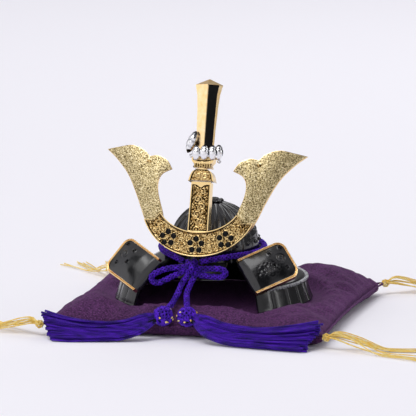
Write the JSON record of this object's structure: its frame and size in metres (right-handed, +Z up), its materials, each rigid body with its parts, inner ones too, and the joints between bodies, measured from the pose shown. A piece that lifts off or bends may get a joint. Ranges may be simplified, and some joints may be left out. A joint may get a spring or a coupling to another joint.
{
  "type": "miniature samurai helmet ornament on a cushion",
  "caption": "Ribbed helmet bowl with a flared neck guard, turned-back side panels and a horned sword crest, tied with a tasselled cord and standing on a square cushion.",
  "frame": {"origin": "on the cushion's flat underside, below the cushion's centre", "axes": "+X to the ornament's left hand side as it faces -Y, the way its face opening looks; +Z up"},
  "size_m": [0.2722, 0.2378, 0.1289],
  "materials": {
    "lacquer": "gloss black",
    "gold": "pale gilt, blasted and polished",
    "silver": "bright plated",
    "cord": "braided rayon",
    "crepe": "silk crepe",
    "thread": "gold thread"
  },
  "bodies": {
    "root": {"bowl": "lacquer", "bowl_finial": "lacquer", "neck_guard": "lacquer", "brim": "lacquer", "turnback_right": "lacquer", "turnback_left": "lacquer", "crest_post": "lacquer", "turnback_rim_right": "gold", "turnback_rim_left": "gold", "crest_plate": "gold", "horn_right": "gold", "horn_left": "gold", "sword_handle": "gold", "sword_cap": "gold", "sword_collar": "gold", "sword_blade": "gold", "claw_ring": "silver", "cord_band": "cord", "cord_bow_left": "cord", "cord_bow_right": "cord", "cord_end_left": "cord", "cord_end_right": "cord", "cord_knot": "cord", "tassel_left": "cord", "tassel_right": "cord", "cushion": "crepe", "corner_tassel_front_left": "thread", "corner_tassel_front_right": "thread", "corner_tassel_back_right": "thread", "corner_tassel_back_left": "thread"}
  },
  "joints": []
}
